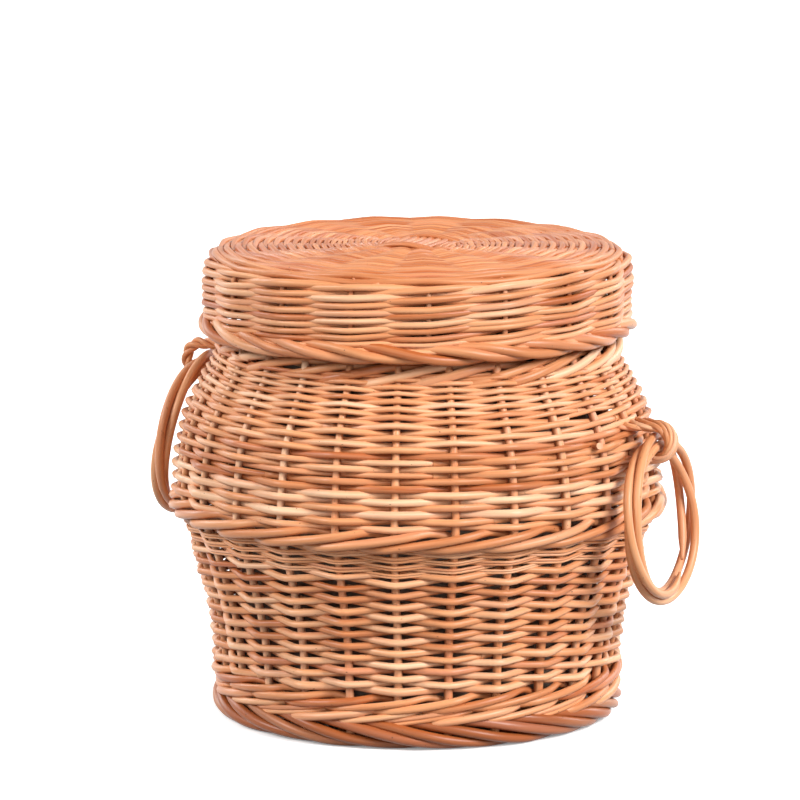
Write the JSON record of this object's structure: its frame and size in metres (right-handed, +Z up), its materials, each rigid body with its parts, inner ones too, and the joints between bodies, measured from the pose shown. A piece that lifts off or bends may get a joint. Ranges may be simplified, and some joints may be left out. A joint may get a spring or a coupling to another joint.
{
  "type": "laundry hamper",
  "caption": "Round woven willow laundry hamper with a belly, a narrower neck, a lift-off lid, ring handles hanging in loops and a cloth liner.",
  "frame": {"origin": "middle of the foot on the floor, on the basket's upright axis", "axes": "+Z up, +X towards the lower ring handle, the two handles on the X axis"},
  "size_m": [0.4605, 0.4192, 0.399],
  "materials": {
    "stake": "peeled willow, satin",
    "stick": "peeled willow, satin",
    "upsett_wale": "peeled willow, satin",
    "lower_weave": "peeled willow, satin",
    "belly_wale": "peeled willow, satin",
    "upper_weave": "peeled willow, satin",
    "foot_border": "peeled willow, satin",
    "rim_border": "peeled willow, satin",
    "base_weave": "peeled willow, satin",
    "right_eye": "peeled willow, satin",
    "left_eye": "peeled willow, satin",
    "lid_border": "peeled willow, satin",
    "lid_wall": "peeled willow, satin",
    "lid_top": "peeled willow, satin",
    "right_ring": "peeled willow, satin",
    "left_ring": "peeled willow, satin",
    "liner": "undyed cloth"
  },
  "bodies": {
    "basket": {"stake_01": "stake", "stake_02": "stake", "stake_03": "stake", "stake_04": "stake", "stake_05": "stake", "stake_06": "stake", "stake_07": "stake", "stake_08": "stake", "stake_09": "stake", "stake_10": "stake", "stake_11": "stake", "stake_12": "stake", "stake_13": "stake", "stake_14": "stake", "stake_15": "stake", "stake_16": "stake", "stake_17": "stake", "stake_18": "stake", "stake_19": "stake", "stake_20": "stake", "stake_21": "stake", "stake_22": "stake", "stake_23": "stake", "stake_24": "stake", "stake_25": "stake", "upsett_wale": "upsett_wale", "lower_weave": "lower_weave", "belly_wale": "belly_wale", "upper_weave": "upper_weave", "foot_border": "foot_border", "rim_border": "rim_border", "base_weave": "base_weave", "base_stick_1": "stick", "base_stick_2": "stick", "base_stick_3": "stick", "base_stick_4": "stick", "base_stick_5": "stick", "base_stick_6": "stick", "liner": "liner", "right_eye": "right_eye", "left_eye": "left_eye"},
    "lid": {"lid_border": "lid_border", "lid_wall": "lid_wall", "lid_top": "lid_top", "lid_stick_1": "stick", "lid_stick_2": "stick", "lid_stick_3": "stick", "lid_stick_4": "stick", "lid_stick_5": "stick", "lid_stick_6": "stick"},
    "right_handle": {"right_ring": "right_ring"},
    "left_handle": {"left_ring": "left_ring"}
  },
  "joints": [
    {"name": "lid_lift", "type": "slide", "parent": "basket", "child": "lid", "axis": [0, 0, 1], "range_m": [0, 0.2]},
    {"name": "right_ring_swing", "type": "hinge", "parent": "basket", "child": "right_handle", "pos_m": [0.21425, 0, 0.243], "axis": [0, -1, 0], "range_deg": [-5, 145]},
    {"name": "left_ring_swing", "type": "hinge", "parent": "basket", "child": "left_handle", "pos_m": [-0.19492, 0, 0.285], "axis": [0, 1, 0], "range_deg": [0, 139]}
  ]
}
